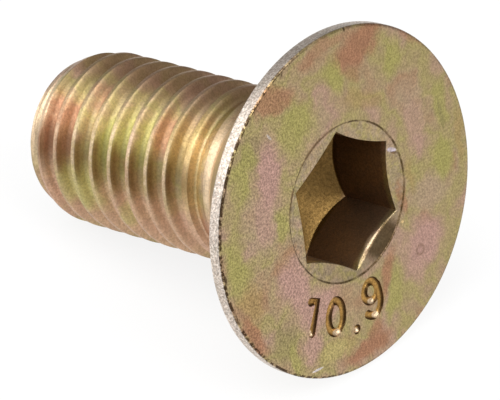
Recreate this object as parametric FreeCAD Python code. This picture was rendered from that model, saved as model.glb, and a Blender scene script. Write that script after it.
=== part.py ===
import FreeCAD, Part
import math
import os

# A countersunk bolt, M12 x 25, with a hexagon socket. All sizes are in millimetres and degrees.
# It is shaped upright, with its head face down at height 0 and its tip up, and then laid on its side.

overall_length = 25.0

head_diameter = 23.4
head_angle = 90.0
rim_height = 0.9
rim_chamfer = 0.12

neck_diameter = 10.9
neck_length = 0.5
neck_fillet = 0.6

thread_diameter = 12.0
thread_pitch = 1.75
thread_flank_angle = 60.0
thread_rise_length = 2.2
thread_runout_length = 3.1
thread_entry_angle = 118.0

tip_taper_length = 2.1
tip_taper_diameter = 10.4
tip_chamfer = 0.4

socket_width = 8.18
socket_corner_diameter = 9.86
socket_depth = 4.7
socket_floor_angle = 130.0
socket_angle = 3.4
mouth_diameter = 10.75
mouth_slope = 10.0

head_radius = head_diameter / 2
neck_radius = neck_diameter / 2
thread_radius = thread_diameter / 2

AXIS = FreeCAD.Vector(0, 0, 1)
ACROSS = FreeCAD.Vector(1, 0, 0)
ORIGIN = FreeCAD.Vector(0, 0, 0)


def point(radius, height):
    return FreeCAD.Vector(radius, 0, height)


def turned(wire):
    """A closed wire, turned round the bolt's axis."""
    return Part.Face(wire).revolve(ORIGIN, AXIS, 360)


def closed(points):
    return Part.makePolygon(points + points[:1])


def circles_at(solid, radius, height):
    """The solid's round edges of this radius at this height."""
    found = []
    for edge in solid.Edges:
        if edge.Curve.TypeId != "Part::GeomCircle":
            continue
        same_radius = abs(edge.Curve.Radius - radius) < 1e-6
        same_height = abs(edge.Curve.Center.z - height) < 1e-6
        if same_radius and same_height:
            found.append(edge)
    return found


def neck_start():
    """Height at which the head's cone meets the neck."""
    return rim_height + (head_radius - neck_radius) / math.tan(math.radians(head_angle / 2))


def thread_start():
    """Height at which the neck ends and the thread begins to rise."""
    return neck_start() + neck_length


def neck_round():
    """The fillet from the head's cone to the neck: its start on the cone, its arc and its end on the neck."""
    turn = math.radians(head_angle / 2)
    reach = neck_fillet * math.tan(turn / 2)
    corner = point(neck_radius, neck_start())
    start = corner + point(math.sin(turn), -math.cos(turn)) * reach
    end = corner + AXIS * reach
    centre = end + ACROSS * neck_fillet
    middle = centre + (corner - centre).normalize() * neck_fillet
    return start, Part.Arc(start, middle, end).toShape(), end


def head():
    """The countersunk head and its neck, before the socket is cut."""
    start, arc, end = neck_round()
    straight = Part.makePolygon([
        end,
        point(neck_radius, thread_start()),
        point(0, thread_start()),
        point(0, 0),
        point(head_radius, 0),
        point(head_radius, rim_height),
        start,
    ])
    solid = turned(Part.Wire(straight.Edges + [arc]))
    rim_edges = circles_at(solid, head_radius, 0) + circles_at(solid, head_radius, rim_height)
    return solid.makeChamfer(rim_chamfer, rim_edges)


def thread_outside():
    """What the crests reach: they rise from the neck and fall away at the tip."""
    taper_end = overall_length - tip_chamfer
    tip_radius = tip_taper_diameter / 2
    return turned(closed([
        point(0, thread_start()),
        point(neck_radius, thread_start()),
        point(thread_radius, thread_start() + thread_rise_length),
        point(thread_radius, taper_end - tip_taper_length),
        point(tip_radius, taper_end),
        point(tip_radius - tip_chamfer, overall_length),
        point(0, overall_length),
    ]))


def thread_height():
    """Height of the thread's sharp triangle, before its crest and root are cut short."""
    return thread_pitch / 2 / math.tan(math.radians(thread_flank_angle / 2))


def root_radius():
    return thread_radius - thread_height() * 17 / 24


def groove_section():
    """The metric thread's groove, cut through its axis: two straight flanks and a narrow flat root."""
    root_half = thread_pitch / 12
    outer_radius = thread_radius + thread_height() / 12
    flank_run = (outer_radius - root_radius()) * math.tan(math.radians(thread_flank_angle / 2))
    outer_half = root_half + flank_run
    return closed([
        point(root_radius(), -root_half),
        point(outer_radius, -outer_half),
        point(outer_radius, outer_half),
        point(root_radius(), root_half),
    ])


def thread_groove():
    """The helical groove, from above the tip to below the end of the neck."""
    top = overall_length + thread_pitch
    path = Part.makeHelix(thread_pitch, top - thread_start() + thread_pitch, thread_radius)
    groove = Part.Wire(path.Edges).makePipeShell([groove_section()], True, True)
    groove.rotate(ORIGIN, ACROSS, 180)
    groove.rotate(ORIGIN, AXIS, thread_entry_angle)
    groove.translate(AXIS * top)
    return groove


def runout():
    """The cone on which the root climbs to the neck. It starts inside the metal, just under the root."""
    deep = min(neck_radius, root_radius()) - thread_height() / 12
    return Part.makeCone(neck_radius, deep, thread_runout_length, point(0, thread_start()))


def threaded_shank():
    start = thread_start()
    spare = 2 * thread_pitch
    rod = Part.makeCylinder(thread_radius, overall_length - start + spare, point(0, start - spare))
    return rod.cut(thread_groove()).common(thread_outside()).fuse(runout())


def socket():
    """The hexagon socket with bowed sides, a cone for its floor and a shallow round mouth."""
    corner_radius = socket_corner_diameter / 2
    sides = []
    for index in range(6):
        angles = [math.radians(socket_angle + 60 * index + turn) for turn in (0, 30, 60)]
        radii = (corner_radius, socket_width / 2, corner_radius)
        ends = [FreeCAD.Vector(r * math.cos(a), r * math.sin(a), 0) for r, a in zip(radii, angles)]
        sides.append(Part.Arc(*ends).toShape())
    floor_slope = math.tan(math.radians(90 - socket_floor_angle / 2))
    deepest = socket_depth + corner_radius * floor_slope
    hexagon = Part.Face(Part.Wire(sides)).extrude(AXIS * deepest)
    punch = turned(closed([
        point(0, 0),
        point(head_radius, 0),
        point(head_radius, deepest - head_radius * floor_slope),
        point(0, deepest),
    ]))
    mouth_radius = mouth_diameter / 2
    mouth = Part.makeCone(mouth_radius, 0, mouth_radius * math.tan(math.radians(mouth_slope)))
    return hexagon.common(punch).fuse(mouth)


def laid_down(upright):
    """The bolt on its side, at rest on its rim and its thread, with the tip towards -X.

    The middle of its footprint is the origin, and the lowest point is at height 0.
    """
    rest_run = overall_length - tip_chamfer - tip_taper_length - rim_height
    rest_tilt = math.degrees(math.atan((head_radius - thread_radius) / rest_run))
    laid = upright.copy()
    laid.rotate(ORIGIN, FreeCAD.Vector(0, 1, 0), -90 - rest_tilt)
    box = laid.optimalBoundingBox(False, False)
    laid.translate(FreeCAD.Vector(-box.Center.x, -box.Center.y, -box.ZMin))
    return laid


def bolt():
    blank = head().fuse(threaded_shank()).removeSplitter()
    return blank.cut(socket()).Solids[0]


if __name__ == "__main__":
    os.makedirs("parts", exist_ok=True)
    solid = laid_down(bolt())
    solid.exportStep("parts/bolt.step")
    print("solids", len(solid.Solids), "valid", solid.isValid(), "volume", round(solid.Volume, 1))
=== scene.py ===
import math

import bmesh
import bpy
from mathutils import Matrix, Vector


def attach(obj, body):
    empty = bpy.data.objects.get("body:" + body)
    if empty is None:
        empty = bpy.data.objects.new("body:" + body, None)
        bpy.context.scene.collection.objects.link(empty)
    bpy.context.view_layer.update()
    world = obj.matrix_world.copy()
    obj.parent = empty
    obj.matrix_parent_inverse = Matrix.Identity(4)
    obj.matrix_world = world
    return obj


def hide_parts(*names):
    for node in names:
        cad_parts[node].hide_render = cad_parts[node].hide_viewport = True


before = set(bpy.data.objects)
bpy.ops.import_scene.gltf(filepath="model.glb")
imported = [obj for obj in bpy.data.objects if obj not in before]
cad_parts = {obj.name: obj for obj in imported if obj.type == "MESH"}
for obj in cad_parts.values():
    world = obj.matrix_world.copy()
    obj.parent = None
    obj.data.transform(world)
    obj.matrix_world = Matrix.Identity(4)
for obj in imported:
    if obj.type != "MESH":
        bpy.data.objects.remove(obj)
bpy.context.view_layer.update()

# The bolt is modelled upright in millimetres, its face down at height 0, then laid on its side in metres.
# There x runs up the face as the photo shows it, y to its right, and z into the shank.
layingDown = {
    "tilt": 14.7827,                          # degrees that the axis falls towards the tip
    "faceCentre": (11.2213, 0.0, 11.5362),    # where the middle of the face comes to lie
    "toMetres": 0.001,
    "smoothAngle": 32,
}
turning = {
    "facets": 120,                            # round every turned form
    "start": math.radians(3.4),               # a corner of the socket lies at this angle
}


def toObjectMode():
    if bpy.context.object and bpy.context.object.mode != "OBJECT":
        bpy.ops.object.mode_set(mode="OBJECT")
    bpy.ops.object.select_all(action="DESELECT")


def activate(piece):
    toObjectMode()
    piece.select_set(True)
    bpy.context.view_layer.objects.active = piece


def editPiece(piece):
    activate(piece)
    bpy.ops.object.mode_set(mode="EDIT")
    bpy.ops.mesh.select_all(action="DESELECT")
    return bmesh.from_edit_mesh(piece.data)


def applyModifier(piece, kind, **values):
    activate(piece)
    modifier = piece.modifiers.new(kind.title(), kind)
    for name, value in values.items():
        setattr(modifier, name, value)
    bpy.ops.object.modifier_apply(modifier=modifier.name)


def joinPieces(*pieces):
    toObjectMode()
    for piece in pieces:
        piece.select_set(True)
    bpy.context.view_layer.objects.active = pieces[0]
    bpy.ops.object.join()
    return pieces[0]


def valueAt(value, angle):
    return value(angle) if callable(value) else value


def growRing(radius, height):
    # Extrudes the selected ring; radius and height are numbers or functions of the angle.
    bpy.ops.mesh.extrude_edges_move()
    mesh = bmesh.from_edit_mesh(bpy.context.object.data)
    for vert in mesh.verts:
        if vert.select:
            angle = math.atan2(vert.co.y, vert.co.x)
            reach = valueAt(radius, angle)
            vert.co = (reach * math.cos(angle), reach * math.sin(angle), valueAt(height, angle))
    bmesh.update_edit_mesh(bpy.context.object.data)


def drawLine(name, points):
    # A chain of edges, grown point by point from a plane merged to one corner.
    toObjectMode()
    bpy.ops.mesh.primitive_plane_add(size=1)
    line = bpy.context.object
    line.name = name
    bpy.ops.object.mode_set(mode="EDIT")
    bpy.ops.mesh.select_all(action="SELECT")
    bpy.ops.mesh.merge(type="CENTER")
    bpy.ops.transform.translate(value=points[0])
    for here, there in zip(points, points[1:]):
        bpy.ops.mesh.extrude_vertices_move(TRANSFORM_OT_translate={"value": Vector(there) - Vector(here)})
    toObjectMode()
    return line


# Head: neck, fillet, cone, rim, face, mouth and socket, grown ring by ring from the neck.

headSizes = {
    "faceRadius": 11.7,
    "faceRing": 0.15,                         # the face is flat from this far inside its rounded edge
    "rimHeight": 0.9,
    "rimEdge": 0.16,
    "rimMiddle": 0.5,
    "lowerRimSteps": 3,
    "upperRimSteps": 4,
    "coneAngle": 45,                          # between the cone and the axis
    "coneRings": (0.3, 0.65, 0.93),           # shares of the way from the neck to the rim
    "neckRadius": 5.45,
    "neckStart": 7.15,
    "neckFillet": 0.6,
    "filletSteps": 6,
    "neckEnd": 7.45,
}
socketSizes = {
    "mouthRadius": 5.36,
    "mouthStep": 0.05,                        # the mouth starts with a small sharp step
    "mouthRings": ((0.2, 0), (0.06, 0), (0.02, 0.01), (-0.02, 0.045)),    # past the mouth's radius, and height
    "mouthInset": 0.06,
    "mouthSlope": 8.0,
    "cornerRadius": 4.99,
    "flatRadius": 4.09,
    "edgeRound": 0.06,
    "edgeTurn": 82,                           # degrees that the rounded edge turns
    "edgeSteps": 4,
    "edgeEnd": 1.3,                           # the walls start this many times the edge's radius down
    "wornEdge": 0.32,                         # the edge is rounder along the side that faces up
    "wornSide": (121.0, 183.4),
    "wornRise": 1.6,
    "wornFall": 9,
    "depth": 4.7,
    "wallRing": 2.4,
    "wallEnd": 1.5,                           # the walls end this many times the floor's rounding above it
    "floorSlope": 25.0,
    "floorRound": 0.12,
    "floorLift": 0.64,
    "floorTurn": 65,
    "floorSteps": 3,
    "floorRings": (0.8, 0.5, 0.2),
    "floorTip": 0.3,                          # the cone's tip is blunt from this radius
}


def socketRadius(angle):
    # The bowed side is an arc through both corners and the middle of the flat.
    corner, flat = socketSizes["cornerRadius"], socketSizes["flatRadius"]
    half = corner * math.sin(math.radians(30))
    bow = corner * math.cos(math.radians(30)) - flat
    bend = (half ** 2 + bow ** 2) / (2 * bow)
    centre = flat + bend
    turn = (angle - turning["start"]) % math.radians(60) - math.radians(30)
    return centre * math.cos(turn) - math.sqrt((centre * math.cos(turn)) ** 2 - centre ** 2 + bend ** 2)


def mouthHeight(radius):
    slope = math.tan(math.radians(socketSizes["mouthSlope"]))
    return socketSizes["mouthStep"] + (socketSizes["mouthRadius"] - radius) * slope


def floorHeight(radius):
    slope = math.tan(math.radians(socketSizes["floorSlope"]))
    return socketSizes["depth"] + (socketSizes["cornerRadius"] - radius) * slope


def edgeRound(angle):
    first, last = socketSizes["wornSide"]
    share = (math.degrees(angle) % 360 - first) / (last - first)
    worn = 0
    if 0 < share < 1:
        worn = min(share * socketSizes["wornRise"], 1, (1 - share) * socketSizes["wornFall"])
    return socketSizes["edgeRound"] + (socketSizes["wornEdge"] - socketSizes["edgeRound"]) * worn


def growCone():
    # The neck's fillet and the cone, from the neck's end down to the rim.
    neck, fillet, face = headSizes["neckRadius"], headSizes["neckFillet"], headSizes["faceRadius"]
    reach = fillet * math.tan(math.radians(headSizes["coneAngle"] / 2))
    for step in range(headSizes["filletSteps"] + 1):
        turn = math.radians(headSizes["coneAngle"] * step / headSizes["filletSteps"])
        growRing(neck + fillet * (1 - math.cos(turn)), headSizes["neckStart"] + reach - fillet * math.sin(turn))
    for share in headSizes["coneRings"]:
        growRing(neck + (face - neck) * share, headSizes["neckStart"] - (face - neck) * share)


def growRim():
    # Both rounded edges of the rim and the flat between them, then the start of the face.
    rim, edge, face = headSizes["rimHeight"], headSizes["rimEdge"], headSizes["faceRadius"]
    lower = edge * math.tan(math.radians(headSizes["coneAngle"] / 2))
    for step in range(headSizes["lowerRimSteps"] + 1):
        turn = math.radians(headSizes["coneAngle"] * (1 - step / headSizes["lowerRimSteps"]))
        growRing(face - edge * (1 - math.cos(turn)), rim - lower + edge * math.sin(turn))
    growRing(face, rim * headSizes["rimMiddle"])
    for step in range(headSizes["upperRimSteps"] + 1):
        turn = math.radians(90 * step / headSizes["upperRimSteps"])
        growRing(face - edge * (1 - math.cos(turn)), edge * (1 - math.sin(turn)))
    growRing(face - edge - headSizes["faceRing"], 0)


def growMouth():
    # The step into the mouth, its slope, and the rounded edge between the mouth and the walls.
    mouth = socketSizes["mouthRadius"]
    for past, height in socketSizes["mouthRings"]:
        growRing(mouth + past, height)
    inner = mouth - socketSizes["mouthInset"]
    growRing(inner, mouthHeight(inner))
    for step in range(socketSizes["edgeSteps"] + 1):
        turn = math.radians(socketSizes["edgeTurn"] * step / socketSizes["edgeSteps"])
        growRing(lambda a: socketRadius(a) + edgeRound(a) * (1 - math.sin(turn)),
                 lambda a: mouthHeight(socketRadius(a) + edgeRound(a)) + edgeRound(a) * (1 - math.cos(turn)))


def growSocket():
    # The walls, the rounded corner below them and the floor's blunt cone.
    growRing(socketRadius, lambda a: mouthHeight(socketRadius(a)) + edgeRound(a) * socketSizes["edgeEnd"])
    low = socketSizes["floorRound"]
    growRing(socketRadius, socketSizes["wallRing"])
    growRing(socketRadius, lambda a: floorHeight(socketRadius(a)) - low * socketSizes["wallEnd"])
    for step in range(socketSizes["floorSteps"] + 1):
        turn = math.radians(socketSizes["floorTurn"] * step / socketSizes["floorSteps"])
        growRing(lambda a: socketRadius(a) - low * (1 - math.cos(turn)),
                 lambda a: floorHeight(socketRadius(a)) - low * socketSizes["floorLift"] + low * math.sin(turn))
    for share in socketSizes["floorRings"]:
        growRing(lambda a: socketRadius(a) * share, lambda a: floorHeight(socketRadius(a) * share))
    bpy.ops.mesh.merge(type="CENTER")
    mesh = bmesh.from_edit_mesh(bpy.context.object.data)
    for vert in mesh.verts:
        if vert.select:
            vert.co = (0, 0, floorHeight(socketSizes["floorTip"]))
    bmesh.update_edit_mesh(bpy.context.object.data)


def buildHead():
    toObjectMode()
    bpy.ops.mesh.primitive_circle_add(
        vertices=turning["facets"], radius=headSizes["neckRadius"], location=(0, 0, headSizes["neckEnd"]))
    piece = bpy.context.object
    piece.name = "boltHead"
    piece.rotation_euler = (0, 0, turning["start"])
    bpy.ops.object.transform_apply(location=True, rotation=True, scale=True)
    bpy.ops.object.mode_set(mode="EDIT")
    bpy.ops.mesh.select_all(action="SELECT")
    growCone()
    growRim()
    growMouth()
    growSocket()
    toObjectMode()
    print("head", len(piece.data.vertices))
    return piece


# Thread: one pitch of the rolled profile, screwed up the shank, then shaped at its run-out and tip.

threadSizes = {
    "radius": 6.0,
    "pitch": 1.75,
    "flankAngle": 60,                         # between a flank and the axis
    "flankRings": (0.33, 0.66),
    "rootRound": 0.52,
    "rootSteps": 7,
    "crestHalf": 0.075,
    "crestRound": 0.05,
    "crestInset": (0.83, 0.9),                # shares of the rounding, from the crest's edge
    "crestTurns": (-60, -40, -20),
    "crestLip": 0.02,
    "crestAtZero": 0.80,                      # height of a crest at angle 0, give or take whole pitches
    "firstGroove": 2.5,                       # pitches from there to the middle of the first groove
    "start": 7.6,
    "overlap": 0.03,                          # how far below its start the thread is cut off
    "riseEnd": 9.85,
    "runoutEnd": 10.3,
    "runoutDrop": 0.52,
    "length": 25.0,
    "turns": 12,
    "tip": ((22.4, 0.23), (23.2, 0.17), (24.62, 0.8)),    # where the crests start to fall, and how much more steeply
    "tipFade": (22.9, 24.2),                  # between these the last groove fades out
    "tipGroove": (0.06, 1.1),                 # how deep the groove may be after that, and how much deeper before
    "rootBlend": 0.08,
    "crestBlend": 0.06,
    "weld": 0.0005,
    "cutAccuracy": 1e-6,
}


def threadProfile():
    # Offsets and radii over one pitch, from the middle of one groove to the middle of the next.
    half = threadSizes["pitch"] / 2
    top, bend = threadSizes["radius"], threadSizes["rootRound"]
    edge = half - threadSizes["crestHalf"]
    apex = top - edge * math.tan(math.radians(threadSizes["flankAngle"]))
    side = []
    for step in range(threadSizes["rootSteps"] + 1):
        turn = math.radians(threadSizes["flankAngle"] * step / threadSizes["rootSteps"])
        side.append((bend * math.sin(turn), apex + 2 * bend - bend * math.cos(turn)))
    rim = threadSizes["crestRound"]
    inset, spread = threadSizes["crestInset"]
    corner = [(edge - rim * inset + rim * spread * math.sin(math.radians(turn)),
               top - rim * (1 - math.cos(math.radians(turn)))) for turn in threadSizes["crestTurns"]]
    last, first = corner[0], side[-1]
    for share in threadSizes["flankRings"]:
        side.append((first[0] + (last[0] - first[0]) * share, first[1] + (last[1] - first[1]) * share))
    side += corner + [(edge + threadSizes["crestLip"], top), (half, top)]
    return side + [(2 * half - offset, radius) for offset, radius in reversed(side[:-1])]


def crestLimit(height):
    # What the crests reach: they rise from the neck and fall away at the tip.
    neck, full = headSizes["neckRadius"], threadSizes["radius"]
    rise = (height - threadSizes["start"]) / (threadSizes["riseEnd"] - threadSizes["start"])
    limit = neck + (full - neck) * min(max(rise, 0), 1)
    for start, slope in threadSizes["tip"]:
        limit -= max(height - start, 0) * slope
    return limit


def rootLimit(height):
    # The root climbs on a cone to the neck, and out of the metal at the tip.
    share = (height - threadSizes["start"]) / (threadSizes["runoutEnd"] - threadSizes["start"])
    first, last = threadSizes["tipFade"]
    fading = min(max((last - height) / (last - first), 0), 1)
    least, more = threadSizes["tipGroove"]
    return max(headSizes["neckRadius"] - share * threadSizes["runoutDrop"], crestLimit(height) - least - more * fading)


def softer(a, b, blend):
    # The smaller of two, rounded where they meet.
    mix = max(blend - abs(a - b), 0) / blend
    return min(a, b) - mix * mix * blend / 4


def buildThread():
    pitch, start = threadSizes["pitch"], turning["start"]
    low = threadSizes["crestAtZero"] + pitch * start / math.tau + pitch * threadSizes["firstGroove"]
    points = [(radius * math.cos(start), radius * math.sin(start), low + offset)
              for offset, radius in threadProfile()]
    piece = drawLine("boltThread", points)
    applyModifier(piece, "SCREW", axis="Z", angle=math.tau, screw_offset=pitch, iterations=threadSizes["turns"],
                  steps=turning["facets"], render_steps=turning["facets"], use_smooth_shade=True)
    editPiece(piece)
    bpy.ops.mesh.select_all(action="SELECT")
    bpy.ops.mesh.remove_doubles(threshold=threadSizes["weld"])
    toObjectMode()
    for vert in piece.data.vertices:
        angle = math.atan2(vert.co.y, vert.co.x)
        reach = math.hypot(vert.co.x, vert.co.y)
        reach = -softer(-reach, -rootLimit(vert.co.z), threadSizes["rootBlend"])
        reach = softer(reach, crestLimit(vert.co.z), threadSizes["crestBlend"])
        if vert.co.z < threadSizes["start"]:
            reach = headSizes["neckRadius"]
        vert.co.x, vert.co.y = reach * math.cos(angle), reach * math.sin(angle)
    editPiece(piece)
    bpy.ops.mesh.select_all(action="SELECT")
    bpy.ops.mesh.bisect(plane_co=(0, 0, threadSizes["start"] - threadSizes["overlap"]), plane_no=(0, 0, 1),
                        clear_inner=True, threshold=threadSizes["cutAccuracy"])
    bpy.ops.mesh.select_all(action="SELECT")
    bpy.ops.mesh.bisect(plane_co=(0, 0, threadSizes["length"]), plane_no=(0, 0, 1), clear_outer=True,
                        use_fill=True, threshold=threadSizes["cutAccuracy"])
    toObjectMode()
    print("thread", len(piece.data.vertices))
    return piece


def joinNeck(headPiece, threadPiece):
    piece = joinPieces(headPiece, threadPiece)
    mesh = editPiece(piece)
    for edge in mesh.edges:
        edge.select = len(edge.link_faces) == 1
    bpy.ops.mesh.bridge_edge_loops()
    bpy.ops.mesh.select_all(action="SELECT")
    bpy.ops.mesh.normals_make_consistent(inside=False)
    toObjectMode()
    return piece


# Strength class, pressed into the face: grooves with a round section along these strokes, as (x, y) on the face.

numerals = {
    "strokeRadius": 0.32,
    "lift": 0.05,                             # how far a stroke's axis stands off the face
    "openStrokes": (
        ((-4.88, -4.85), (-5.13, -4.3), (-6.98, -5.33)),
        ((-6.75, 1.08), (-7.5, 1.2), (-8.2, 1.08), (-8.68, 0.62), (-8.62, 0.1), (-8.3, -0.22)),
    ),
    "closedStrokes": (
        ((-5.76, -2.86), (-6.2, -2.35), (-6.95, -2.3), (-7.7, -2.55), (-8.13, -3.15), (-7.75, -3.7), (-7.0, -3.78),
         (-6.25, -3.45)),
        ((-6.12, 0.42), (-6.35, 0.9), (-6.9, 1.08), (-7.4, 0.88), (-7.6, 0.42), (-7.4, -0.05), (-6.9, -0.27),
         (-6.35, -0.03)),
    ),
    "point": (-8.78, -1.42, -0.1),
    "pointRadius": 0.36,
    "endShare": 0.99,                         # the balls at a stroke's ends, a hair smaller than the stroke
    "ballFacets": (20, 12),
    "curveSteps": 6,
    "bevelSteps": 4,
    "sliverMerge": 0.003,
    "sliverArea": 0.002,
    "holeSides": 8,
}


def cutAway(piece, cutter):
    applyModifier(piece, "BOOLEAN", object=cutter, operation="DIFFERENCE", solver="EXACT")
    toObjectMode()
    bpy.data.objects.remove(cutter)


def ballAt(place, radius):
    toObjectMode()
    around, along = numerals["ballFacets"]
    bpy.ops.mesh.primitive_uv_sphere_add(segments=around, ring_count=along, radius=radius, location=place)
    return bpy.context.object


def pressStroke(piece, outline, closed):
    radius, lift = numerals["strokeRadius"], numerals["lift"]
    points = [(x, y, -lift) for x, y in outline]
    line = drawLine("stroke", points)
    activate(line)
    bpy.ops.object.convert(target="CURVE")
    line = bpy.context.object
    bpy.ops.object.mode_set(mode="EDIT")
    bpy.ops.curve.select_all(action="SELECT")
    if closed:
        bpy.ops.curve.cyclic_toggle()
    if len(points) > 3:                       # three points make the straight strokes of the 1
        bpy.ops.curve.spline_type_set(type="NURBS")
    toObjectMode()
    for spline in line.data.splines:
        if spline.type == "NURBS":
            spline.use_endpoint_u = not closed
            spline.order_u = 3
            spline.resolution_u = numerals["curveSteps"]
    line.data.dimensions = "3D"
    line.data.bevel_depth = radius
    line.data.bevel_resolution = numerals["bevelSteps"]
    line.data.use_fill_caps = not closed
    activate(line)
    bpy.ops.object.convert(target="MESH")
    cutAway(piece, bpy.context.object)
    if not closed:
        for end in (points[0], points[-1]):
            cutAway(piece, ballAt(end, radius * numerals["endShare"]))


def pressNumerals(piece):
    for outline in numerals["openStrokes"]:
        pressStroke(piece, outline, False)
    for outline in numerals["closedStrokes"]:
        pressStroke(piece, outline, True)
    cutAway(piece, ballAt(numerals["point"], numerals["pointRadius"]))
    editPiece(piece)                          # slivers that the cuts leave
    bpy.ops.mesh.select_all(action="SELECT")
    bpy.ops.mesh.remove_doubles(threshold=numerals["sliverMerge"])
    bpy.ops.mesh.dissolve_degenerate(threshold=numerals["sliverArea"])
    bpy.ops.mesh.select_all(action="SELECT")
    bpy.ops.mesh.fill_holes(sides=numerals["holeSides"])
    toObjectMode()
    print("numerals", len(piece.data.vertices))


finishLimits = {
    "rimEnd": 1.3,                            # the shank's finish starts above the rim
    "socketRadius": 5.05,
    "socketEnd": 9,
}


def headOrShank(place):
    # 0 for the face, the rim and the socket, 1 for the cone and the shank.
    inSocket = math.hypot(place.x, place.y) < finishLimits["socketRadius"] and place.z < finishLimits["socketEnd"]
    return 0 if place.z < finishLimits["rimEnd"] or inSocket else 1


def layDown(piece):
    activate(piece)
    piece.rotation_euler = (0, -math.radians(90 + layingDown["tilt"]), 0)
    piece.location = Vector(layingDown["faceCentre"]) * layingDown["toMetres"]
    piece.scale = [layingDown["toMetres"]] * 3
    bpy.ops.object.transform_apply(location=True, rotation=True, scale=True)
    bpy.ops.object.shade_smooth_by_angle(angle=math.radians(layingDown["smoothAngle"]))


bolt = joinNeck(buildHead(), buildThread())
bolt.name = "plated_bolt"
pressNumerals(bolt)
boltParts = [headOrShank(polygon.center) for polygon in bolt.data.polygons]
layDown(bolt)
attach(bolt, "root")
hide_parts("bolt")
print("bolt", len(bolt.data.polygons))


# Finish: satin yellow zinc, whose thin film shows other tints in soft patches, with painted light and shade laid over
# it in places.

def put(tree, kind, **settings):
    node = tree.nodes.new(kind)
    for name, value in settings.items():
        setattr(node, name, value)
    return node


def feed(tree, socket, value):
    if isinstance(value, bpy.types.NodeSocket):
        tree.links.new(value, socket)
    else:
        socket.default_value = value


def calc(tree, operation, *values, clamp=False):
    node = put(tree, "ShaderNodeMath", operation=operation, use_clamp=clamp)
    for socket, value in zip(node.inputs, values):
        feed(tree, socket, value)
    return node.outputs[0]


def vectorCalc(tree, operation, first, second=None):
    node = put(tree, "ShaderNodeVectorMath", operation=operation)
    feed(tree, node.inputs[0], first)
    if second is not None:
        feed(tree, node.inputs[1], second)
    return node.outputs["Value" if operation == "LENGTH" else "Vector"]


def fade(tree, value, start, end, first=0.0, last=1.0):
    # Goes softly from first to last while value goes from start up to end.
    node = put(tree, "ShaderNodeMapRange", interpolation_type="SMOOTHSTEP")
    for name, amount in (("Value", value), ("From Min", start), ("From Max", end), ("To Min", first), ("To Max", last)):
        feed(tree, node.inputs[name], amount)
    return node.outputs["Result"]


def mixTint(tree, share, first, second, blend="MIX"):
    node = put(tree, "ShaderNodeMix", data_type="RGBA", blend_type=blend)
    feed(tree, node.inputs[0], share)
    feed(tree, node.inputs[6], first)
    feed(tree, node.inputs[7], second)
    return node.outputs[2]


def grainOf(tree, place, name, colour=False):
    # One of the finish's noises.
    node = put(tree, "ShaderNodeTexNoise")
    feed(tree, node.inputs["Vector"], place)
    for socket, amount in zip(("Scale", "Detail", "Roughness"), zinc["noises"][name]):
        node.inputs[socket].default_value = amount
    return node.outputs["Color" if colour else "Fac"]


def newGroup(name, inputs, outputs):
    group = bpy.data.node_groups.new(name, "ShaderNodeTree")
    for socket, kind in inputs:
        group.interface.new_socket(name=socket, in_out="INPUT", socket_type=kind)
    for socket, kind in outputs:
        group.interface.new_socket(name=socket, in_out="OUTPUT", socket_type=kind)
    return group, put(group, "NodeGroupInput").outputs, put(group, "NodeGroupOutput").inputs


def useGroup(tree, group, **values):
    node = put(tree, "ShaderNodeGroup", node_tree=group)
    for name, value in values.items():
        feed(tree, node.inputs[name], value)
    return node.outputs


def tint(red, green, blue):
    # From the usual 0 to 255 values of a screen colour.
    def level(value):
        value /= 255
        return value / 12.92 if value < 0.04045 else ((value + 0.055) / 1.055) ** 2.4
    return (level(red), level(green), level(blue), 1)


def makePatchGroup():
    # One soft-edged patch of tint laid over a colour.
    group, given, result = newGroup(
        "tintPatch",
        [("Colour", "NodeSocketColor"), ("Tint", "NodeSocketColor"), ("Place", "NodeSocketVector"),
         ("Centre", "NodeSocketVector"), ("Reach", "NodeSocketVector"), ("Turn", "NodeSocketFloat"),
         ("Inner", "NodeSocketFloat"), ("Strength", "NodeSocketFloat")],
        [("Colour", "NodeSocketColor"), ("Mask", "NodeSocketFloat")])
    turned = put(group, "ShaderNodeVectorRotate", rotation_type="Z_AXIS")
    feed(group, turned.inputs["Vector"], vectorCalc(group, "SUBTRACT", given["Place"], given["Centre"]))
    feed(group, turned.inputs["Angle"], given["Turn"])
    away = vectorCalc(group, "LENGTH", vectorCalc(group, "DIVIDE", turned.outputs[0], given["Reach"]))
    inside = fade(group, away, given["Inner"], zinc["patchOuter"], 1.0, 0.0)
    mask = calc(group, "MULTIPLY", inside, given["Strength"])
    feed(group, result["Colour"], mixTint(group, mask, given["Colour"], given["Tint"]))
    feed(group, result["Mask"], mask)
    return group


def makeUprightGroup():
    # The bolt's own place in millimetres: x up the face, y to its right and z into the shank. Then the distance from
    # its axis, and z and y by themselves.
    group, given, result = newGroup(
        "uprightPlace", [("Object", "NodeSocketVector")],
        [("Place", "NodeSocketVector"), ("Radius", "NodeSocketFloat"), ("Height", "NodeSocketFloat"),
         ("Side", "NodeSocketFloat")])
    mapping = put(group, "ShaderNodeMapping", vector_type="TEXTURE")
    feed(group, mapping.inputs["Vector"], given["Object"])
    mapping.inputs["Location"].default_value = Vector(layingDown["faceCentre"]) * layingDown["toMetres"]
    mapping.inputs["Rotation"].default_value = (0, -math.radians(90 + layingDown["tilt"]), 0)
    mapping.inputs["Scale"].default_value = [layingDown["toMetres"]] * 3
    parts = put(group, "ShaderNodeSeparateXYZ")
    feed(group, parts.inputs[0], mapping.outputs[0])
    feed(group, result["Place"], mapping.outputs[0])
    feed(group, result["Height"], parts.outputs["Z"])
    feed(group, result["Side"], parts.outputs["Y"])
    feed(group, result["Radius"], calc(group, "SQRT", calc(
        group, "ADD", calc(group, "POWER", parts.outputs["X"], 2), calc(group, "POWER", parts.outputs["Y"], 2))))
    return group


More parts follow.
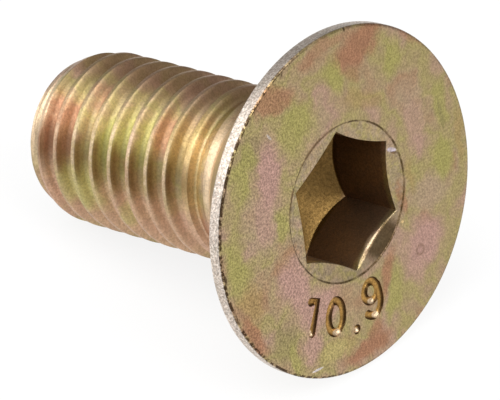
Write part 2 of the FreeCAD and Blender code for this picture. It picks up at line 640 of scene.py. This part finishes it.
def makeWaverGroup():
    # Moves a place about, so that what is drawn there gets a wavering outline.
    group, given, result = newGroup(
        "waver", [("Place", "NodeSocketVector"), ("Wide", "NodeSocketFloat"), ("Fine", "NodeSocketFloat")],
        [("Place", "NodeSocketVector")])
    place = given["Place"]
    moved = place
    for name in ("Wide", "Fine"):
        push = vectorCalc(group, "SUBTRACT", grainOf(group, place, name, colour=True), (0.5, 0.5, 0.5))
        sized = put(group, "ShaderNodeVectorMath", operation="SCALE")
        feed(group, sized.inputs[0], push)
        feed(group, sized.inputs["Scale"], given[name])
        moved = vectorCalc(group, "ADD", moved, sized.outputs[0])
    feed(group, result["Place"], moved)
    return group


zinc = {
    "tints": {
        "tan": tint(178, 154, 120),
        "beige": tint(182, 158, 130),
        "gold": tint(176, 150, 100),
        "lime": tint(172, 164, 98),
        "olive": tint(152, 141, 94),
        "mauve": tint(191, 153, 140),
        "salmon": tint(172, 126, 97),
        "rust": tint(160, 113, 86),
        "brown": tint(118, 90, 62),
        "umber": tint(58, 38, 24),
        "silver": tint(206, 196, 188),
        "white": tint(228, 220, 218),
        # the next two tints are painted highlights
        "glint": tint(225, 195, 140),
        "highlightCream": tint(226, 200, 166),
        "rose": tint(206, 166, 138),
        "pear": tint(194, 184, 120),
        # painted shade for the top of the shank
        "shade": tint(150, 114, 86),
        "lilac": tint(214, 204, 218),
        # painted shade for the socket's walls and floor
        "socketWallShade": tint(146, 118, 92),
        "socketFloorShade": tint(124, 98, 56),
        # painted shade down the sides of the pressed numerals
        "numeralSideShade": tint(76, 52, 26),
        "numeralFloor": tint(182, 140, 76),
        "mouthMottle": tint(170, 150, 126),
        # painted shade on one side of the mouth
        "mouthShade": tint(88, 70, 44),
        # painted shade along the mouth's step
        "mouthShadeLine": tint(84, 66, 40),
        "burr": tint(112, 84, 50),
        "rimDull": tint(194, 179, 166),
        "rimBright": tint(230, 220, 210),
        # painted highlight on the thread's crests
        "crest": tint(206, 182, 154),
        # painted shade on the lower flanks
        "lowerFlankShade": tint(122, 86, 42),
    },
    # what the film shows by itself, along its noise, and how far all of it is drawn to tan
    "film": ((0.34, "salmon"), (0.42, "tan"), (0.49, "lime"), (0.56, "tan"), (0.62, "mauve"), (0.7, "beige")),
    "filmToTan": 0.45,
    # scale, detail, roughness
    "noises": {
        "film": (0.22, 2.5, 0.55),
        "Wide": (0.28, 3.0, 0.6),
        "Fine": (1.3, 3.0, 0.6),
        "mottle": (2.2, 3.0, 0.6),
        "rim": (7.0, 4.0, 0.7),
        "rimLine": (2.4, 4.0, 0.7),
        "mouthShadeLine": (1.4, 4.0, 0.7),
        "burr": (1.1, 2.0, 0.5),
        "crest": (2.5, 4.0, 0.7),
        "fine": (6.5, 3.0, 0.7),
        "coarse": (1.6, 3.0, 0.6),
    },
    "waver": {"Wide": 2.2, "Fine": 0.7},      # how far outlines are pushed about
    "patchInner": 0.5,                        # a patch is full up to here, as a share of its reach
    "markInner": 0.7,
    "patchOuter": 1.25,
    # where a mask starts and where it is full, or the other way round
    "edges": {
        "socketWallShade": (4.95, 5.05),
        "socketTop": (0.42, 0.8),
        "socketFloorShade": (4.6, 4.9),
        "numeralTop": (0.015, 0.05),
        "numeralInner": (5.5, 5.6),
        "numeralOuter": (9.6, 9.9),
        "numeralFloor": (0.14, 0.26),
        "numeralEnd": (0.5, 0.6),
        "mouthSide": (5.3, 5.34),
        "mouthTop": (0.03, 0.06),
        "mouthEnd": (0.24, 0.3),
        "mottle": (0.42, 0.58),
        "rim": (11.6, 11.66),
        "rimTop": (0.05, 0.14),
        "rimSpeckle": (0.38, 0.64),
        "rimLine": (11.49, 11.56),
        "rimLineEnd": (0.1, 0.16),
        "rimLineGaps": (0.42, 0.52),
        "leftSide": (-6.0, 1.0),
        "mouthShadeLine": (0.03, 0.1),
        "mouthLineEnd": (0.3, 0.5),
        "mouthLineGaps": (0.3, 0.6),
        "burr": (0.08, 0.2),
        "burrGaps": (0.35, 0.5),
        "thread": (8.2, 9.2),
        # masks for the painted highlight on the crests and the painted light and shade on the flanks
        "crest": (5.9, 5.97),
        "crestGaps": (0.35, 0.6),
        "flankFoot": (5.25, 5.4),
        "flankTop": (5.9, 5.95),
        "lowerFoot": (5.45, 5.75),
        "lowerTop": (5.93, 5.96),
        "grain": (0.32, 0.68),
        "clouds": (0.3, 0.7),
        "gloss": (0.3, 0.7),
    },
    # soft round masks: mouthShade for the mouth's painted shade, above for the painted light on the shank's upper
    # flanks, front for stronger painted highlights on the crests in front, below for the painted shade on the lower
    # flanks
    "regions": {
        "mouthShade": {"Centre": (-4.0, 2.4, 0.1), "Reach": (1.5, 2.3, 3), "Turn": -0.5, "Inner": 0.6, "Strength": 0.9},
        "burr": {"Centre": (3.6, -2.6, 0.1), "Reach": (2.6, 3.8, 0.4), "Inner": 0.7, "Strength": 0.7},
        "above": {"Centre": (4.6, -3.6, 16), "Reach": (2.3, 2.6, 9), "Inner": 0.5, "Strength": 1.0},
        "front": {"Centre": (2.4, -5.2, 16), "Reach": (2.6, 2.2, 9), "Inner": 0.5, "Strength": 1.0},
        "below": {"Centre": (1.9, -5.4, 16), "Reach": (1.9, 1.4, 9), "Inner": 0.5, "Strength": 1.0},
    },
    # how strong each is; two numbers are the least and the most
    "levels": {
        "numerals": 0.95,
        "mottle": 0.6,
        "rim": 0.92,
        "rimLine": 0.3,
        "rimLineLeft": 0.6,                   # more of it at the left
        "mouthShadeLine": (0.2, 0.95),
        # painted highlight on the crests, painted light on the upper flanks and painted shade on the lower ones
        "crest": (0.15, 0.7),
        "crestAll": 0.2,
        "crestFront": 0.8,                    # more of it in front
        "upperFlankLight": 0.15,
        "lowerFlankShade": 0.65,
        "shankSpeckle": -0.5,
        "grain": (0.77, 1.22),
        "grainSpread": 0.14,                  # more of it where the speckle is strong
        "clouds": (0.93, 1.07),
        "roughness": (0.52, 0.4),
        "bump": 0.35,
        "bumpHeight": 0.00002,
        "bumpCoarse": 1.5,
    },
    # tint, centre (x, y, z), reach along each, degrees turned on the face, strength
    "facePatches": (
        ("beige", (2.3, -7.8, 0), (2.4, 1.9, 0.9), 0, 0.7),
        ("lime", (0.3, -10.3, 0), (2.6, 1.0, 0.9), 0, 0.8),
        ("lime", (5.9, -8.6, 0), (1.7, 1.2, 0.9), 20, 0.8),
        ("olive", (7.2, -7.0, 0), (1.2, 1.3, 0.9), 0, 0.55),
        ("lime", (6.9, -3.3, 0), (1.9, 2.1, 0.9), 0, 0.85),
        ("mauve", (5.0, -6.1, 0), (2.7, 1.1, 0.9), 10, 0.95),
        ("mauve", (2.4, -7.4, 0), (1.8, 1.0, 0.9), 0, 0.6),
        ("lime", (1.2, -5.9, 0), (1.1, 0.6, 0.9), 0, 0.8),
        ("mauve", (-3.1, -5.8, 0), (1.9, 1.7, 0.9), 0, 0.95),
        ("mauve", (-5.6, -4.6, 0), (1.7, 2.3, 0.9), 0, 0.9),
        ("mauve", (-7.9, -5.5, 0), (1.3, 1.0, 0.9), 0, 0.85),
        ("salmon", (-4.6, -10.3, 0), (2.1, 0.6, 0.9), -20, 0.9),
        ("olive", (-6.4, -7.9, 0), (1.6, 1.3, 0.9), 0, 0.6),
        ("lime", (-7.9, -7.3, 0), (1.3, 0.5, 0.9), -10, 0.7),
        ("gold", (-9.2, -3.0, 0), (0.9, 2.0, 0.9), 0, 0.6),
        ("salmon", (-10.6, -0.7, 0), (0.75, 2.7, 0.9), 0, 0.95),
        ("salmon", (-9.8, 0.6, 0), (1.2, 0.8, 0.9), 0, 0.8),
        ("salmon", (-6.3, 2.2, 0), (1.9, 0.65, 0.9), 32, 0.85),
        ("lime", (-8.0, 2.6, 0), (2.3, 0.8, 0.9), 20, 0.85),
        ("mauve", (-6.0, 6.0, 0), (1.7, 2.3, 0.9), 0, 0.95),
        ("mauve", (-7.6, 4.6, 0), (1.2, 0.9, 0.9), 0, 0.7),
        ("beige", (-3.0, 7.4, 0), (1.2, 2.2, 0.9), 0, 0.8),
        ("lime", (-1.2, 9.0, 0), (1.7, 1.5, 0.9), 0, 0.9),
        ("lime", (0.5, 6.3, 0), (2.2, 0.6, 0.9), 0, 0.4),
        ("lime", (2.6, 9.9, 0), (2.3, 0.8, 0.9), 0, 0.7),
        ("olive", (1.6, 9.8, 0), (1.4, 0.22, 0.9), 0, 0.7),
        ("mauve", (2.2, 7.2, 0), (2.3, 1.1, 0.9), 0, 0.65),
        ("beige", (4.6, 7.0, 0), (1.2, 1.8, 0.9), 0, 0.6),
        ("lime", (7.7, 6.3, 0), (1.4, 1.2, 0.9), 0, 0.85),
        ("salmon", (8.1, 8.5, 0), (1.9, 0.55, 0.9), -45, 0.6),
        ("salmon", (9.8, 3.7, 0), (1.2, 2.7, 0.9), -14, 0.95),
        ("salmon", (8.6, 2.7, 0), (1.2, 0.9, 0.9), 0, 0.6),
        ("lime", (8.6, 1.1, 0), (1.5, 0.9, 0.9), 0, 0.9),
        ("salmon", (11.0, 0.5, 0), (0.5, 3.0, 0.9), 0, 0.5),
        ("salmon", (9.7, -4.5, 0), (0.95, 1.9, 0.9), 10, 0.8),
        ("gold", (5.9, 3.0, 0), (0.8, 2.2, 0.9), 25, 0.6),
        ("gold", (-1.0, 5.9, 0), (1.6, 0.45, 0.9), 0, 0.6),
        ("gold", (-0.6, 11.2, 0), (2.0, 0.35, 0.9), 0, 0.6),
        ("salmon", (-2.2, 4.7, 0), (1.5, 0.45, 0.9), 0, 0.7),
        ("pear", (-9.3, -3.4, 0), (0.8, 1.5, 0.9), 0, 0.5),
        ("lime", (7.0, -7.4, 0), (1.0, 1.0, 0.9), 0, 0.7),
        ("gold", (-2.5, -9.8, 0), (1.6, 0.9, 0.9), 0, 0.75),
    ),
    # small dents and scratches; painted highlights where the light catches the numerals, the socket's worn edge and a
    # spot on the face; and painted light on the upper part of the socket's floor
    "marks": (
        # painted highlight along the socket's worn edge
        ("highlightCream", (-3.75, 1.6, 0.38), (0.6, 2.5, 0.3), 25, 0.85),
        ("brown", (-6.4, 5.5, 0), (0.42, 0.42, 0.3), 0, 0.5),
        ("mauve", (-6.4, 5.5, 0), (0.27, 0.27, 0.3), 0, 0.9),
        ("white", (-9.62, -5.5, 0), (0.08, 0.5, 0.3), 8, 0.9),
        ("silver", (7.5, -5.5, 0), (0.3, 0.09, 0.3), -30, 0.7),
        ("lilac", (1.45, 4.76, 0.1), (0.17, 0.4, 0.3), 28, 0.95),
        ("brown", (1.15, 4.95, 0.1), (0.1, 0.35, 0.3), 28, 0.8),
        # painted highlight on the face
        ("glint", (-3.7, 4.4, 0), (0.12, 0.18, 0.4), 0, 0.9),
        ("umber", (11.3, 2.6, 0), (0.2, 0.09, 0.4), 0, 0.8),
        ("umber", (10.9, -3.4, 0), (0.25, 0.08, 0.4), 30, 0.6),
        # painted highlights at the lower ends of the numerals
        ("highlightCream", (-7.0, -5.4, 0.25), (0.26, 0.22, 0.5), 0, 1.0),
        ("highlightCream", (-8.15, -3.1, 0.25), (0.22, 0.3, 0.5), 0, 1.0),
        ("highlightCream", (-8.9, -1.42, 0.25), (0.16, 0.22, 0.5), 0, 1.0),
        ("highlightCream", (-7.65, 0.4, 0.25), (0.2, 0.26, 0.5), 0, 1.0),
        ("highlightCream", (-8.75, 0.55, 0.25), (0.24, 0.26, 0.5), 0, 1.0),
        # painted light on the upper part of the socket's floor
        ("gold", (2.9, -1.6, 5.6), (1.0, 1.6, 0.9), 30, 0.5),
        ("umber", (0.3, -11.5, 0.05), (0.3, 0.12, 0.3), 0, 0.8),
    ),
    "shankPatches": (
        # painted shade: the top of the shank darker
        ("shade", (5.6, 2.0, 16.0), (2.2, 3.6, 12.0), 0, 0.7),
        ("rose", (-2.4, -5.1, 15.0), (3.6, 2.4, 12.0), 0, 0.75),
        ("gold", (1.6, -5.5, 16.5), (1.8, 1.4, 5.5), 0, 0.6),
        ("salmon", (3.3, -4.5, 22.9), (2.8, 2.6, 1.2), 0, 0.95),
        ("salmon", (3.4, -4.5, 21.0), (2.8, 2.6, 1.0), 0, 0.9),
        ("salmon", (5.2, -2.6, 19.0), (1.6, 1.6, 0.8), 0, 0.8),
        ("gold", (4.4, -3.9, 18.7), (1.8, 1.8, 0.7), 0, 0.8),
        ("lime", (3.3, -4.6, 17.1), (2.8, 2.6, 0.9), 0, 0.9),
        ("lime", (3.2, -4.6, 15.5), (2.6, 2.6, 0.8), 0, 0.9),
        ("lime", (3.5, -4.4, 13.6), (2.6, 2.6, 0.9), 0, 0.85),
        ("salmon", (4.4, -3.5, 12.1), (1.8, 1.8, 0.8), 0, 0.75),
        ("gold", (4.0, -3.9, 10.9), (2.4, 2.4, 0.7), 0, 0.7),
        ("gold", (4.4, -3.8, 10.0), (2.6, 2.6, 0.9), 0, 0.9),
        ("rust", (2.0, -5.5, 15.2), (1.2, 1.2, 0.8), 0, 0.7),
        ("pear", (-0.4, -5.8, 19.3), (2.0, 1.8, 2.2), 0, 0.9),
        ("pear", (-1.8, -5.5, 15.6), (1.4, 1.4, 0.7), 0, 0.6),
        ("rose", (-0.9, -5.7, 22.8), (2.2, 1.8, 1.4), 0, 0.7),
        # painted highlights on the lit side of the run-out ridge, the neck and the tip
        ("glint", (2.6, -4.9, 9.0), (3.4, 2.4, 0.7), 0, 0.75),
        ("highlightCream", (2.8, -4.4, 7.2), (3.8, 3.4, 1.1), 0, 0.95),
        ("highlightCream", (3.2, -4.2, 24.2), (3.4, 3.2, 0.9), 0, 0.85),
    ),
}


def rising(tree, value, edge, full=1.0):
    return fade(tree, value, *zinc["edges"][edge], 0.0, full)


def falling(tree, value, edge, full=1.0):
    return fade(tree, value, *zinc["edges"][edge], full, 0.0)


def between(tree, value, edge, level):
    return fade(tree, value, *zinc["edges"][edge], *zinc["levels"][level])


def allOf(tree, mask, *others):
    for other in others:
        mask = calc(tree, "MULTIPLY", mask, other)
    return mask


def regionOf(tree, place, name):
    return useGroup(tree, groups["patch"], Place=place, **zinc["regions"][name])["Mask"]


def layPatches(tree, colour, place, patches, inner):
    for name, centre, reach, turn, strength in patches:
        colour = useGroup(tree, groups["patch"], Colour=colour, Tint=zinc["tints"][name], Place=place, Centre=centre,
                          Reach=reach, Turn=-math.radians(turn), Inner=inner, Strength=strength)["Colour"]
    return colour


def mixFilm(tree, wavering):
    # The tints that the film has by itself.
    tints = zinc["tints"]
    film = put(tree, "ShaderNodeValToRGB")
    feed(tree, film.inputs[0], grainOf(tree, wavering, "film"))
    stops, ramp = zinc["film"], film.color_ramp.elements
    ramp[0].position, ramp[0].color = stops[0][0], tints[stops[0][1]]
    ramp[1].position, ramp[1].color = stops[-1][0], tints[stops[-1][1]]
    for position, name in stops[1:-1]:
        ramp.new(position).color = tints[name]
    return mixTint(tree, zinc["filmToTan"], film.outputs[0], tints["tan"])


def shadeSocket(tree, colour, upright):
    # Painted shade inside the socket: dark walls, and a golden brown floor darkened the same way.
    radius, height = upright["Radius"], upright["Height"]
    inSocket = allOf(tree, falling(tree, radius, "socketWallShade"), rising(tree, height, "socketTop"))
    colour = mixTint(tree, inSocket, colour, zinc["tints"]["socketWallShade"])
    onFloor = allOf(tree, rising(tree, height, "socketFloorShade"), inSocket)
    return mixTint(tree, onFloor, colour, zinc["tints"]["socketFloorShade"])


def tintAndShadeNumerals(tree, colour, upright):
    # Golden brown, with painted shade darkest down their sides.
    radius, height = upright["Radius"], upright["Height"]
    inNumeral = allOf(tree, rising(tree, height, "numeralTop"), rising(tree, radius, "numeralInner"),
                      falling(tree, radius, "numeralOuter"),
                      falling(tree, height, "numeralEnd", zinc["levels"]["numerals"]))
    pressed = mixTint(tree, rising(tree, height, "numeralFloor"), zinc["tints"]["numeralSideShade"],
                      zinc["tints"]["numeralFloor"])
    return mixTint(tree, inNumeral, colour, pressed)


def tintMouth(tree, colour, upright):
    # Mottled, and with painted shade on the side that faces up, beside the worn edge.
    place, radius, height = upright["Place"], upright["Radius"], upright["Height"]
    inMouth = allOf(tree, falling(tree, radius, "mouthSide"), rising(tree, height, "mouthTop"),
                    falling(tree, height, "mouthEnd"))
    mottle = rising(tree, grainOf(tree, place, "mottle"), "mottle", zinc["levels"]["mottle"])
    colour = mixTint(tree, allOf(tree, mottle, inMouth), colour, zinc["tints"]["mouthMottle"])
    shaded = regionOf(tree, place, "mouthShade")
    return mixTint(tree, allOf(tree, shaded, inMouth), colour, zinc["tints"]["mouthShade"])


def tintRim(tree, colour, upright, left):
    # Paler, speckled silver, with a dark broken line at its upper edge.
    place, radius, height = upright["Place"], upright["Radius"], upright["Height"]
    tints, levels = zinc["tints"], zinc["levels"]
    onRim = allOf(tree, rising(tree, radius, "rim"), rising(tree, height, "rimTop", levels["rim"]))
    speckle = rising(tree, grainOf(tree, place, "rim"), "rimSpeckle")
    colour = mixTint(tree, onRim, colour, mixTint(tree, speckle, tints["rimDull"], tints["rimBright"]))
    line = allOf(tree, rising(tree, radius, "rimLine"), falling(tree, height, "rimLineEnd"),
                 rising(tree, grainOf(tree, place, "rimLine"), "rimLineGaps"),
                 calc(tree, "MULTIPLY_ADD", left, levels["rimLineLeft"], levels["rimLine"]))
    return mixTint(tree, line, colour, tints["umber"])


def drawMouthShadeLine(tree, colour, upright):
    # A dark uneven line of painted shade round the mouth's step, and burrs beside it.
    place, radius, height = upright["Place"], upright["Radius"], upright["Height"]
    fromMouth = calc(tree, "ABSOLUTE", calc(tree, "SUBTRACT", radius, socketSizes["mouthRadius"]))
    line = allOf(tree, falling(tree, fromMouth, "mouthShadeLine"), falling(tree, height, "mouthLineEnd"),
                 between(tree, grainOf(tree, place, "mouthShadeLine"), "mouthLineGaps", "mouthShadeLine"))
    colour = mixTint(tree, line, colour, zinc["tints"]["mouthShadeLine"])
    burr = allOf(tree, regionOf(tree, place, "burr"), falling(tree, fromMouth, "burr"),
                 rising(tree, grainOf(tree, place, "burr"), "burrGaps"))
    return mixTint(tree, burr, colour, zinc["tints"]["burr"])


def dressHead(tree, colour, upright):
    # Gives the colour, how strong its speckle is, and no painted light.
    colour = shadeSocket(tree, colour, upright)
    colour = tintAndShadeNumerals(tree, colour, upright)
    colour = layPatches(tree, colour, upright["Place"], zinc["marks"], zinc["markInner"])
    colour = tintMouth(tree, colour, upright)
    left = falling(tree, upright["Side"], "leftSide")
    colour = tintRim(tree, colour, upright, left)
    colour = drawMouthShadeLine(tree, colour, upright)
    return colour, left, 1.0


def dressShank(tree, colour, upright):
    # Painted highlights on the crests, painted shade on the flanks below and painted light on the flanks above. Gives
    # the colour, how strong its speckle is, and the painted light's gain.
    place, radius, levels = upright["Place"], upright["Radius"], zinc["levels"]
    onThread = rising(tree, upright["Height"], "thread")
    front = calc(tree, "MULTIPLY_ADD", regionOf(tree, place, "front"), levels["crestFront"], levels["crestAll"])
    crest = allOf(tree, rising(tree, radius, "crest"), onThread,
                  between(tree, grainOf(tree, place, "crest"), "crestGaps", "crest"), front)
    colour = mixTint(tree, crest, colour, zinc["tints"]["crest"])
    lower = allOf(tree, rising(tree, radius, "lowerFoot"), falling(tree, radius, "lowerTop"), onThread,
                  regionOf(tree, place, "below"), levels["lowerFlankShade"])
    colour = mixTint(tree, lower, colour, zinc["tints"]["lowerFlankShade"])
    upper = allOf(tree, rising(tree, radius, "flankFoot"), falling(tree, radius, "flankTop"), onThread,
                  regionOf(tree, place, "above"))
    return colour, levels["shankSpeckle"], calc(tree, "MULTIPLY_ADD", upper, levels["upperFlankLight"], 1.0)


def makeZinc(name, patches, dress):
    material = bpy.data.materials.new(name)
    material.use_nodes = True
    tree = material.node_tree
    shader = next(node for node in tree.nodes if node.type == "BSDF_PRINCIPLED")
    coordinates = put(tree, "ShaderNodeTexCoord")
    upright = useGroup(tree, groups["upright"], Object=coordinates.outputs["Object"])
    place, levels = upright["Place"], zinc["levels"]
    wavering = useGroup(tree, groups["waver"], Place=place, **zinc["waver"])["Place"]
    colour = layPatches(tree, mixFilm(tree, wavering), wavering, patches, zinc["patchInner"])
    colour, speckle, paintedLight = dress(tree, colour, upright)

    # speckle all over, times the painted light on the shank's upper flanks
    fine, coarse = grainOf(tree, place, "fine"), grainOf(tree, place, "coarse")
    dark, bright = levels["grain"]
    grain = fade(tree, fine, *zinc["edges"]["grain"],
                 calc(tree, "MULTIPLY_ADD", speckle, -levels["grainSpread"], dark),
                 calc(tree, "MULTIPLY_ADD", speckle, levels["grainSpread"], bright))
    shade = allOf(tree, grain, between(tree, coarse, "clouds", "clouds"), paintedLight)
    level = put(tree, "ShaderNodeCombineColor")
    for socket in level.inputs[:3]:
        feed(tree, socket, shade)
    colour = mixTint(tree, 1.0, colour, level.outputs[0], blend="MULTIPLY")

    feed(tree, shader.inputs["Base Color"], colour)
    shader.inputs["Metallic"].default_value = 1.0
    feed(tree, shader.inputs["Roughness"], between(tree, fine, "gloss", "roughness"))
    bump = put(tree, "ShaderNodeBump")
    bump.inputs["Strength"].default_value = levels["bump"]
    bump.inputs["Distance"].default_value = levels["bumpHeight"]
    feed(tree, bump.inputs["Height"],
         calc(tree, "ADD", fine, calc(tree, "MULTIPLY", coarse, levels["bumpCoarse"])))
    feed(tree, shader.inputs["Normal"], bump.outputs[0])
    return material


groups = {"patch": makePatchGroup(), "upright": makeUprightGroup(), "waver": makeWaverGroup()}
bolt.data.materials.clear()
bolt.data.materials.append(makeZinc("headZinc", zinc["facePatches"], dressHead))
bolt.data.materials.append(makeZinc("shankZinc", zinc["shankPatches"], dressShank))
for polygon, part in zip(bolt.data.polygons, boltParts):
    polygon.material_index = part
print("finish ready")


# Floor, light and camera.

studio = {
    "floorSize": 2.4,
    "floorColour": (0.92, 0.92, 0.92, 1),
    "floorRoughness": 0.9,
    "floorSheen": 0.2,
    "floorGlow": 0.85,                        # share of plain white that the camera and the metal see in the floor
    "worldColour": (0.98, 0.99, 1.0, 1),
    "worldLevel": 0.31,
    "aimAt": (0, 0, 0.01),
    "lamps": {
        "leftSoftbox": {"at": (-0.36, -0.26, 0.22), "size": 0.42, "watts": 1.15},
        "topSoftbox": {"at": (0.0, -0.18, 0.47), "size": 0.42, "watts": 1.75},
        "rightSoftbox": {"at": (0.36, 0.0, 0.36), "size": 0.35, "watts": 1.5},
    },
}


def makeFloor():
    toObjectMode()
    bpy.ops.mesh.primitive_plane_add(size=studio["floorSize"], location=(0, 0, 0))
    floor = bpy.context.object
    floor.name = "floor"
    material = bpy.data.materials.new("paleFloor")
    material.use_nodes = True
    tree = material.node_tree
    shader = next(node for node in tree.nodes if node.type == "BSDF_PRINCIPLED")
    shader.inputs["Base Color"].default_value = studio["floorColour"]
    shader.inputs["Roughness"].default_value = studio["floorRoughness"]
    shader.inputs["Specular IOR Level"].default_value = studio["floorSheen"]
    rays = put(tree, "ShaderNodeLightPath")
    seen = calc(tree, "MAXIMUM", rays.outputs["Is Camera Ray"], rays.outputs["Is Glossy Ray"])
    glow = put(tree, "ShaderNodeEmission")
    glow.inputs["Strength"].default_value = 1.0
    blend = put(tree, "ShaderNodeMixShader")
    feed(tree, blend.inputs["Fac"], calc(tree, "MULTIPLY", seen, studio["floorGlow"]))
    feed(tree, blend.inputs[1], shader.outputs[0])
    feed(tree, blend.inputs[2], glow.outputs[0])
    result = next(node for node in tree.nodes if node.type == "OUTPUT_MATERIAL")
    feed(tree, result.inputs["Surface"], blend.outputs[0])
    floor.data.materials.append(material)


def makeLight():
    world = bpy.data.worlds.new("softRoom")
    bpy.context.scene.world = world
    world.use_nodes = True
    background = world.node_tree.nodes["Background"]
    background.inputs["Color"].default_value = studio["worldColour"]
    background.inputs["Strength"].default_value = studio["worldLevel"]
    for name, lamp in studio["lamps"].items():
        data = bpy.data.lights.new(name, "AREA")
        data.shape = "SQUARE"
        data.size = lamp["size"]
        data.energy = lamp["watts"]
        light = bpy.data.objects.new(name, data)
        bpy.context.scene.collection.objects.link(light)
        light.location = lamp["at"]
        light.rotation_euler = (Vector(studio["aimAt"]) - Vector(lamp["at"])).to_track_quat("-Z", "Y").to_euler()


photoCamera = {
    "position": (0.142731, -0.152099, 0.165901),
    "forward": (-0.53754, 0.58357, -0.60869),
    "lens": 282.97,
    "sensorWidth": 36,
    "clipStart": 0.01,
    "clipEnd": 10,
}


def makeCamera():
    data = bpy.data.cameras.new("photoCamera")
    data.sensor_width = photoCamera["sensorWidth"]
    data.lens = photoCamera["lens"]
    data.clip_start = photoCamera["clipStart"]
    data.clip_end = photoCamera["clipEnd"]
    camera = bpy.data.objects.new("photoCamera", data)
    bpy.context.scene.collection.objects.link(camera)
    camera.location = photoCamera["position"]
    camera.rotation_euler = Vector(photoCamera["forward"]).to_track_quat("-Z", "Y").to_euler()
    bpy.context.scene.camera = camera


makeFloor()
makeLight()
makeCamera()
bpy.context.scene.view_settings.view_transform = "Standard"

print("stage ready")
